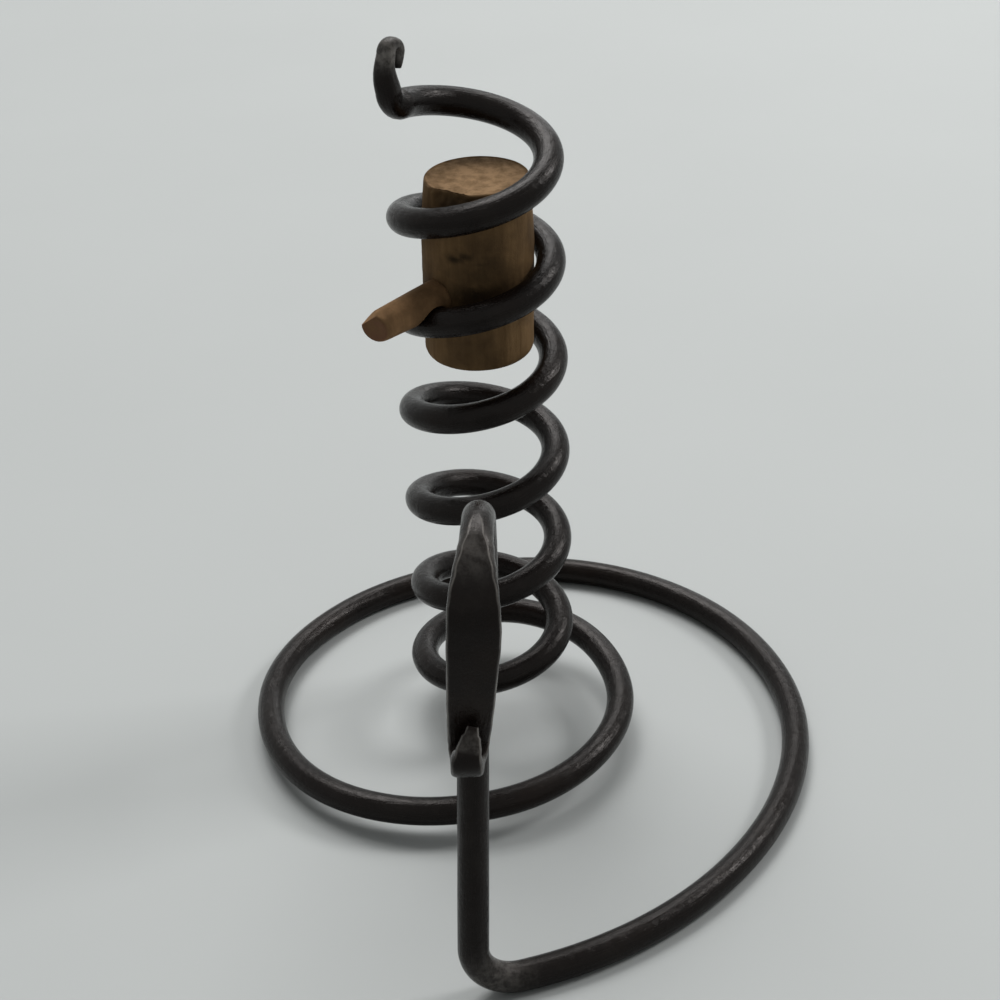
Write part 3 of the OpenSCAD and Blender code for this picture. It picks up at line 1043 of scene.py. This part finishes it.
Layers = tuple[tuple[float, float, float], ...]


def rough(place: np.ndarray, layers: Layers) -> float:
    """Smooth noise.

    Args:
        place: The place in millimetres.
        layers: Height, size and seed of each layer of it.

    Returns:
        The layers' sum, each between plus and minus its height.
    """
    total = 0.0
    for height, size, seed in layers:
        total += height * noise.noise(Vector(place / size) + Vector((seed, seed * 1.7, -seed)))
    return total


@dataclass
class WoodenPlug:
    """The plug that the candle stands on. Sizes are in millimetres.

    Attributes:
        full_r: Radius along its middle. foot_r and top_r are those at its ends.
        bottom_z: Height of its foot, as top_z is of its top.
        taper: Length over which it narrows to its top, as foot_taper is to its foot.
        wear: Size of the worn edge round the foot, as rim is round the top.
        lean: How far its axis stands to the side at the foot and at the top.
        sides: Points round it.
        rings: Rings down its side, as rim_rings and foot_rings are round its edges.
        dip: Mean depth of its uneven skin. dips are that skin's layers, and top_dips those of its sawn top.
        chip_angle: Azimuth of the chip at its rim, chip_reach the degrees and chip_height the height that it takes up,
            chip_depth and chip_slope its size, and chip_edge its broken edge.
        dent: Azimuth, height, size and depth of the dent beside the peg.
        marks: Azimuth, height, width in degrees, height in millimetres and strength of each dark mark: dark smudges,
            and
        painted shade over the front above the coil and under the chipped rim. ragged are the layers of their ragged
        edge.
        nodes: The nodes that it takes the place of.
    """

    full_r: float = 11.68
    foot_r: float = 11.55
    top_r: float = 10.84
    bottom_z: float = 93.61
    top_z: float = 132.8
    taper: float = 13.0
    foot_taper: float = 16.0
    wear: float = 2.2
    rim: float = 0.55
    lean: tuple[float, float] = (-0.35, 0.55)
    sides: int = 144
    rings: int = 70
    rim_rings: int = 6
    foot_rings: int = 8
    dip: float = 0.085
    dips: Layers = ((0.05, 5.0, 3.1), (0.035, 1.6, 8.2))
    top_dips: Layers = ((0.125, 2.6, 5.5),)
    chip_angle: float = -124.0
    chip_reach: float = 60.0
    chip_height: float = 5.0
    chip_depth: float = 1.25
    chip_slope: float = 0.4
    chip_edge: Layers = ((0.5, 1.6, 1.3), (0.35, 0.7, 4.4))
    dent: tuple[float, float, float, float] = (-141.0, 115.2, 1.3, 0.5)
    # The first three are dark smudges. The next two are painted shade under the chipped rim, and the last three
    # painted shade over the plug's front, darkest just above a turn of the coil.
    marks: tuple[tuple[float, float, float, float, float], ...] = (
        (-113, 119.1, 12, 1.0, 0.95), (-101, 119.8, 9, 0.9, 0.95), (-88, 118.2, 12, 0.5, 0.6),
        (-116, 130.6, 17, 1.2, 0.75), (-100, 131.6, 22, 0.6, 0.7), (-94, 111.4, 32, 3.3, 0.9),
        (-92, 115.5, 32, 4.4, 0.6), (-95, 97.0, 30, 4.0, 0.15),
    )  # fmt: skip
    ragged: Layers = ((0.9, 1.8, 2.6), (0.6, 0.8, 7.3))
    nodes: tuple[str, ...] = ("candle_plug", "plug_foot")

    def side_r(self, height: float) -> float:
        """Radius of the plug's side: full along the middle, and narrower to both ends.

        Args:
            height: The height on it.

        Returns:
            The radius there.
        """
        above = min(1.0, max(0.0, (height - self.top_z + self.taper) / self.taper))
        below = ease((self.bottom_z + self.foot_taper - height) / self.foot_taper)
        return self.full_r - (self.full_r - self.top_r) * above**1.25 - (self.full_r - self.foot_r) * below

    def profile(self) -> list[tuple[float, float]]:
        """The plug's outline.

        Returns:
            Radius and height, from the middle of the top down to the middle of the foot.
        """
        found = [(self.top_r * share, self.top_z) for share in (0.12, 0.25, 0.4, 0.55, 0.7, 0.82, 0.9)]
        for a in np.linspace(0, math.pi / 2, self.rim_rings + 1):
            found.append((self.top_r - self.rim * (1 - math.sin(a)), self.top_z - self.rim * (1 - math.cos(a))))
        body_foot = self.bottom_z + self.wear
        heights = np.linspace(self.top_z - self.rim, body_foot, self.rings + 1)[1:-1]
        found += [(self.side_r(height), height) for height in heights]
        for a in np.linspace(0, math.pi / 2, self.foot_rings + 1):
            found.append((self.foot_r - self.wear * 0.75 * (1 - math.cos(a)), body_foot - self.wear * math.sin(a)))
        return found + [(self.foot_r * share, self.bottom_z) for share in (0.8, 0.6, 0.4, 0.2)]

    def worn(self, radius: float, angle: float, height: float) -> np.ndarray:
        """A point of the plug with its wear.

        Args:
            radius: Radius of the outline.
            angle: Azimuth in degrees.
            height: Height of the outline.

        Returns:
            The point in millimetres, on the plug's slightly leaning axis.
        """
        place = polar(radius, angle, height)
        sunk = self.dip + rough(place, self.dips)
        if height > self.top_z - 0.01:
            height -= 0.6 * sunk + self.top_dips[0][0] + rough(place, self.top_dips)
        radius -= sunk * min(1.0, radius / self.top_r)
        away = (angle - self.chip_angle + 180) % 360 - 180
        below = max(0.0, self.top_z - height - 0.6)
        if abs(away) < self.chip_reach and below < self.chip_height:
            limit = self.top_r - self.chip_depth + rough(place, self.chip_edge) + self.chip_slope * below
            radius = min(radius, limit / math.cos(math.radians(away)))
        dent_angle, dent_z, size, depth = self.dent
        dent = math.hypot((angle - dent_angle) * 0.2 / size, (height - dent_z) / size)
        radius -= depth * math.exp(-(dent**2))
        lean = mix(*self.lean, (height - self.bottom_z) / (self.top_z - self.bottom_z))
        return polar(max(0.3, radius), angle, height) + RIGHT * lean

    def paint(self, mesh: bpy.types.Mesh) -> None:
        """Marks where end grain, dark smudges and painted shade show.

        Args:
            mesh: The turned plug.
        """
        places = np.array([v.co for v in mesh.vertices]) / MM
        inside = np.clip((self.top_r - np.hypot(places[:, 0], places[:, 1])) / 0.4, 0, 1)
        top = np.clip((places[:, 2] - (self.top_z - 0.6)) / 0.15, 0, 1) * inside
        ends = np.maximum(top, np.clip((self.bottom_z + 0.3 - places[:, 2]) / 0.3, 0, 1))
        store(mesh, "end_grain", ends)
        azimuths = np.degrees(np.arctan2(places[:, 1], places[:, 0]))
        ragged = np.maximum([1 + rough(place, self.ragged) for place in places], 0.45)
        # Dark smudges, and painted shade over the plug's front and under its chipped rim.
        soot_and_shade = np.zeros(len(places))
        for angle, height, wide, tall, strength in self.marks:
            far = ((azimuths - angle) / wide) ** 2 + ((places[:, 2] - height) / tall) ** 2
            soot_and_shade = np.maximum(soot_and_shade, strength * np.exp(-far * ragged - 0.35 * abs(1 - ragged)))
        store(mesh, "soot_and_shade", soot_and_shade * (1 - ends))

    def build(self, wood: bpy.types.Material, tenon: bpy.types.Object) -> bpy.types.Object:
        """Turns the plug and bores its hole.

        Args:
            wood: The plug's material.
            tenon: A cutter the size of the peg's hole.

        Returns:
            The plug, riding with the peg in place of its two nodes.
        """
        low, high = self.lean
        angles = [360 * k / self.sides for k in range(self.sides)]
        rows = [[self.worn(radius, angle, height) for angle in angles] for radius, height in self.profile()]
        ends = np.array([[high, 0, self.top_z - 0.1]]), np.array([[low, 0, self.bottom_z]])
        plug = lathe("plug", [np.array(row) * MM for row in (ends[0], *rows, ends[1])])
        self.paint(plug.data)
        bore = plug.modifiers.new("bore", "BOOLEAN")
        bore.operation = "DIFFERENCE"
        bore.solver = "EXACT"
        bore.object = tenon
        plain(plug, wood)
        bpy.data.objects.remove(tenon)
        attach(plug, Body.PLUG.value)
        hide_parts(*self.nodes)
        return plug


@dataclass
class TurningPeg:
    """The peg that rides on the coil. Sizes are in millimetres.

    Attributes:
        rod: The rod that it rides on.
        angle: Its azimuth.
        ride: Height of its axis over the bar's middle.
        droop: How far its end hangs, in degrees.
        root_r: Radius at the plug, as end_r is at its end.
        reach: Radius that its end reaches to.
        slant: How far its end is sawn off square.
        bevel_l: Length of the whittled bevel over its end. bevel_drop is its depth, and bevel_way the way it faces.
        round_edge: Size of its worn edge.
        tenon_r: Radius of its tenon, tenon_l its length and tenon_from the radius that this counts from.
        hole_fit: Clearance of the hole round it.
        plug_r: Radius where the shank meets the plug, as clear_from is where it has to clear the bar.
        saddle: Radius of the hollow that rides on the bar.
        sides: Points round it. rings are the rings of the shank.
        facet: Depth of the whittled facets. skin is their mean depth, dips are the layers of the uneven skin, and
            end_dips those of the sawn end.
    """

    rod: ForgedRod
    angle: float = -138.5
    ride: float = 4.2
    droop: float = 4.3
    root_r: float = 3.83
    end_r: float = 3.22
    reach: float = 29.35
    slant: float = 1.0
    bevel_l: float = 3.4
    bevel_drop: float = 1.35
    bevel_way: tuple[float, float] = (-0.6, 0.8)
    round_edge: float = 0.75
    tenon_r: float = 2.8
    tenon_l: float = 15.0
    tenon_from: float = 10.6
    hole_fit: float = 0.05
    plug_r: float = 11.56
    clear_from: float = 11.5
    saddle: float = 3.475
    sides: int = 72
    rings: int = 46
    facet: float = 0.045
    skin: float = 0.09
    dips: Layers = ((0.03, 2.6, 6.4),)
    end_dips: Layers = ((0.12, 1.5, 2.2),)

    def axis(self) -> tuple[np.ndarray, np.ndarray, np.ndarray, np.ndarray]:
        """Where the peg lies.

        Returns:
            Its origin over the bar, its outward direction, and two directions across it.
        """
        turns = 1 + (self.rod.coil_start - self.angle) / 360
        a, d = math.radians(self.angle), math.radians(self.droop)
        level = np.array([math.cos(a), math.sin(a), 0.0])
        out = level * math.cos(d) - UP * math.sin(d)
        across = np.cross(UP, level)
        origin = level * self.rod.coil_r + UP * (self.rod.coil_at(turns)[2] + self.ride)
        return origin, out, across, np.cross(out, across)

    def hidden_l(self) -> float:
        """Length of the peg from its origin in to the tenon's end."""
        return self.rod.coil_r - self.tenon_from + self.tenon_l

    def cutter(self) -> bpy.types.Object:
        """Makes a round cutter for the peg's hole in the plug.

        Returns:
            The cutter, hidden in renders.
        """
        origin, out, _, _ = self.axis()
        foot, radius = self.hidden_l(), (self.tenon_r + self.hole_fit) * MM
        mesh = bpy.data.meshes.new("hole")
        shape = bmesh.new()
        bmesh.ops.create_cone(shape, cap_ends=True, segments=64, radius1=radius, radius2=radius, depth=foot * MM)
        turn = Vector(UP).rotation_difference(Vector(out)).to_matrix().to_4x4()
        middle = Vector((origin - out * foot / 2) * MM)
        bmesh.ops.transform(shape, matrix=Matrix.Translation(middle) @ turn, verts=shape.verts)
        shape.to_mesh(mesh)
        shape.free()
        cutter = placed("hole", mesh)
        cutter.hide_render = True
        return cutter

    def clear_of_bar(self, place: np.ndarray) -> np.ndarray:
        """Moves a point of the peg out of the bar that it rides on.

        Args:
            place: The point in millimetres.

        Returns:
            The point, outside the saddle's round hollow.
        """
        azimuth = math.degrees(math.atan2(place[1], place[0]))
        turns = 1 + (self.rod.coil_start - azimuth) / 360
        for _ in range(4):
            offset = np.dot(place - self.rod.coil_at(turns), self.rod.coil_way(turns))
            turns += offset / (2 * math.pi * self.rod.coil_r)
        away = place - self.rod.coil_at(turns)
        if np.linalg.norm(away) >= self.saddle:
            return place
        flat = math.hypot(away[0], away[1])
        lift = math.sqrt(max(0.0, self.saddle**2 - flat**2)) - away[2]
        return place + UP * max(0.0, lift)

    def build(self, wood: bpy.types.Material) -> bpy.types.Object:
        """Whittles the peg.

        Args:
            wood: The peg's material.

        Returns:
            The peg, riding with the plug in place of its node.
        """
        origin, out, across, over = self.axis()
        foot, end = self.hidden_l(), self.reach - self.rod.coil_r
        angles = [2 * math.pi * k / self.sides for k in range(self.sides)]

        def point(a: float, d: float, r: float) -> np.ndarray:
            """The point at an angle, a distance along the axis and a radius."""
            return origin + out * d + (across * math.cos(a) + over * math.sin(a)) * r

        def ring(along: float | list[float], radii: float | list[float]) -> np.ndarray:
            """One ring of the peg, each point at its own place along the axis."""
            return np.array([point(*three) for three in np.broadcast(angles, along, radii)])

        def shoulder(a: float) -> float:
            """Where the shank meets the plug.

            Args:
                a: The angle round the peg.

            Returns:
                The distance along the peg's axis.
            """
            d = self.plug_r - self.rod.coil_r
            for _ in range(12):
                p = point(a, d, self.root_r)
                d += self.plug_r - math.hypot(p[0], p[1])
            return d

        def cut(row: np.ndarray) -> np.ndarray:
            """The row with the whittled bevel over its end, and the end sawn at a slant.

            Args:
                row: Points of the peg.

            Returns:
                The cut points.
            """
            done = []
            aside, above = self.bevel_way
            for p in row:
                d, side, high = (np.dot(p - origin, v) for v in (out, across, over))
                into_end = (d - end + self.bevel_l) / self.bevel_l
                proud = max(0.0, above * high + aside * side - self.end_r + self.bevel_drop * into_end)
                high, side = high - above * proud, side - aside * proud
                back = self.slant * (1 + side / self.end_r) * ease(into_end)
                done.append(origin + out * (d - back) + across * side + over * high)
            return np.array(done)

        def shank(t: float) -> np.ndarray:
            """A ring of the shank, with its whittled facets.

            Args:
                t: The share of the shank's length.

            Returns:
                The ring's points.
            """
            along = [mix(s, end - self.round_edge, t) for s in shoulders]
            base = mix(self.root_r, self.end_r, t)
            radii = []
            for a, d in zip(angles, along, strict=True):
                facet = self.facet * math.cos(7 * a + 1.2 + 0.4 * math.sin(d * 0.3))
                radii.append(base - self.skin + facet - rough(point(a, d, base), self.dips))
            return ring(along, radii)

        shoulders = [shoulder(a) for a in angles]
        rows = [np.array([origin - out * foot])]
        rows += [ring(-foot, self.tenon_r * share) for share in (0.5, 0.9, 1.0)]
        rows += [ring([mix(-foot, s, i / 8) for s in shoulders], self.tenon_r) for i in range(1, 8)]
        rows += [ring(shoulders, mix(self.tenon_r, self.root_r, share)) for share in (0.0, 0.5, 0.85)]
        rows += [shank(i / self.rings) for i in range(self.rings + 1)]
        for b in np.linspace(0, math.pi / 2, 7)[1:]:
            radius = self.end_r - self.skin - self.round_edge * 0.75 * (1 - math.cos(b))
            rows.append(ring(end - self.round_edge * (1 - math.sin(b)), radius))
        for share in (0.75, 0.45, 0.2):
            dips = [rough(origin + across * math.cos(a) * 3 * share, self.end_dips) for a in angles]
            rows.append(ring([end + dip - 0.1 for dip in dips], (self.end_r - 0.8) * share))
        rows.append(np.array([origin + out * (end - 0.1)]))
        rows = [cut(row) if np.dot(row[0] - origin, out) > end - self.bevel_l else row for row in rows]
        inner = self.clear_from - self.rod.coil_r
        rows = [[self.clear_of_bar(p) if np.dot(p - origin, out) > inner else p for p in row] for row in rows]
        peg = lathe("peg", [np.array(row) * MM for row in rows])
        plain(peg, wood)
        places = np.array([v.co for v in peg.data.vertices]) / MM - origin
        face = places @ out + self.slant * (1 + places @ across / self.end_r)
        store(peg.data, "end_grain", np.clip((face - (end - 0.35)) / 0.25, 0, 1))
        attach(peg, Body.PLUG.value)
        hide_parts("turning_peg")
        return peg


@dataclass
class Studio:
    """The floor, the lights and the camera. Sizes are in metres.

    Attributes:
        floor_colour: The floor's colour. floor_side is its length.
        sky: The sky's colour. It shines with sky_front from the front and sky_back from the back, and is seen and
            mirrored as sky_seen.
        key_from: Where the even key light comes from. key_strength is its strength and key_spread its soft edge in
            degrees.
        lamps: Name, place, side and watts of each soft square lamp. They face the point aim.
        camera_place: The photograph's view, with the camera's directions camera_right and camera_up, and its lens.
    """

    floor_colour: Colour = (0.485, 0.5, 0.493)
    floor_side: float = 14.0
    sky: Colour = (0.97, 1.0, 0.995)
    sky_front: float = 0.1
    sky_back: float = 0.5
    sky_seen: float = 0.62
    key_from: tuple[float, float, float] = (-0.3, 0.62, 1.15)
    key_strength: float = 1.15
    key_spread: float = 28.0
    lamps: tuple[tuple[str, tuple[float, float, float], float, float], ...] = (
        ("right", (1.35, 0.4, 1.2), 0.45, 11.5),
        ("back", (0.1, 1.1, 1.45), 0.9, 11.0),
        ("low", (0.4, 1.3, 0.45), 0.35, 0.7),
    )
    aim: tuple[float, float, float] = (0.0, 0.0, 0.06)
    camera_place: tuple[float, float, float] = (0.00264, -0.37982, 0.28458)
    camera_right: tuple[float, float, float] = (0.9992, -0.0209, -0.0348)
    camera_up: tuple[float, float, float] = (0.0406, 0.5151, 0.8561)
    lens: float = 72.0
    sensor: float = 36.0

    def floor(self) -> None:
        """Lays a plain pale floor."""
        half = self.floor_side / 2
        mesh = bpy.data.meshes.new("floor")
        mesh.from_pydata([(-half, -half, 0), (half, -half, 0), (half, half, 0), (-half, half, 0)], [], [(0, 1, 2, 3)])
        material, nodes, shader, place = new_material("pale_floor")
        tones = [tuple(c * f for c in self.floor_colour) for f in (0.97, 1.03)]
        colour = nodes.blend(nodes.noise(place, 9.0, 4.0, 0.5), *tones)
        nodes.fill(shader, {"Base Color": colour, "Roughness": 0.7, "Specular IOR Level": 0.2})
        mesh.materials.append(material)
        floor = placed("floor", mesh)

    def light(self, name: str, kind: str, strength: float, way: Vector) -> bpy.types.Object:
        """Adds a light.

        Args:
            name: Its name.
            kind: Blender's word for its kind.
            strength: Its strength.
            way: The direction it shines in.

        Returns:
            The light's object.
        """
        data = bpy.data.lights.new(name, kind)
        data.energy = strength
        light = placed(name, data)
        light.rotation_euler = way.to_track_quat("-Z", "Y").to_euler()
        return light

    def lights(self) -> None:
        """Adds the even key light and the soft lamps."""
        key = self.light("key", "SUN", self.key_strength, -Vector(self.key_from))
        key.data.angle = math.radians(self.key_spread)
        for name, place, side, watts in self.lamps:
            lamp = self.light(name, "AREA", watts, Vector(self.aim) - Vector(place))
            lamp.location = place
            lamp.visible_camera = False
            lamp.data.shape = "SQUARE"
            lamp.data.size = side

    def world(self) -> None:
        """Makes a pale sky. It lights less from the front, and is even where it is seen or mirrored."""
        world = bpy.data.worlds.new("studio")
        world.use_nodes = True
        nodes = Nodes(world.node_tree)
        way = nodes.add("ShaderNodeTexCoord").outputs["Generated"]
        depth = nodes.add("ShaderNodeSeparateXYZ", {"Vector": way}).outputs["Y"]
        light = nodes.ranged(depth, -1.0, 1.0, self.sky_front, self.sky_back)
        path = nodes.add("ShaderNodeLightPath").outputs
        seen = nodes.math("ADD", path["Is Camera Ray"], path["Is Glossy Ray"])
        seen = nodes.math("MINIMUM", nodes.math("ADD", seen, path["Is Transmission Ray"]), 1.0)
        kept = nodes.math("MULTIPLY", light, nodes.math("SUBTRACT", 1.0, seen))
        strength = nodes.math("ADD", kept, nodes.math("MULTIPLY", seen, self.sky_seen))
        nodes.fill(world.node_tree.nodes["Background"], {"Color": (*self.sky, 1), "Strength": strength})
        bpy.context.scene.world = world

    def camera(self) -> None:
        """Sets the camera at the photograph's view."""
        data = bpy.data.cameras.new("camera")
        data.lens = self.lens
        data.sensor_width = self.sensor
        data.clip_start = 0.01
        data.clip_end = 50.0
        camera = placed("camera", data)
        right, up = Vector(self.camera_right).normalized(), Vector(self.camera_up)
        up = (up - up.dot(right) * right).normalized()
        turn = Matrix((right, up, right.cross(up))).transposed().to_4x4()
        camera.matrix_world = Matrix.Translation(Vector(self.camera_place)) @ turn
        bpy.context.scene.camera = camera

    def build(self) -> None:
        """Sets up the whole studio."""
        self.floor()
        self.lights()
        self.world()
        self.camera()
        bpy.context.scene.view_settings.view_transform = "Standard"


def main() -> None:
    """Builds the candlestick in its studio."""
    logging.basicConfig(level=logging.INFO, format="%(name)s: %(message)s")
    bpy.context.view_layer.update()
    Studio().build()
    plug_wood = OldWood(
        "plug_wood", light=(0.23, 0.14, 0.066), dark=(0.115, 0.067, 0.029), grime=(0.07, 0.041, 0.019),
        end=(0.27, 0.168, 0.088),
    )  # fmt: skip
    rod = ForgedRod()
    peg = TurningPeg(rod)
    peg_wood = OldWood(
        "peg_wood", light=(0.32, 0.185, 0.09), dark=(0.175, 0.1, 0.048), grime=(0.115, 0.066, 0.032),
        end=(0.165, 0.084, 0.048), along=tuple(peg.axis()[1]),
    )  # fmt: skip
    made = [
        rod.build(BlackIron().build()),
        WoodenPlug().build(plug_wood.build(), peg.cutter()),
        peg.build(peg_wood.build()),
    ]
    for piece in made:
        LOG.info("%s: %d faces", piece.name, len(piece.data.polygons))


if __name__ == "__main__":
    main()
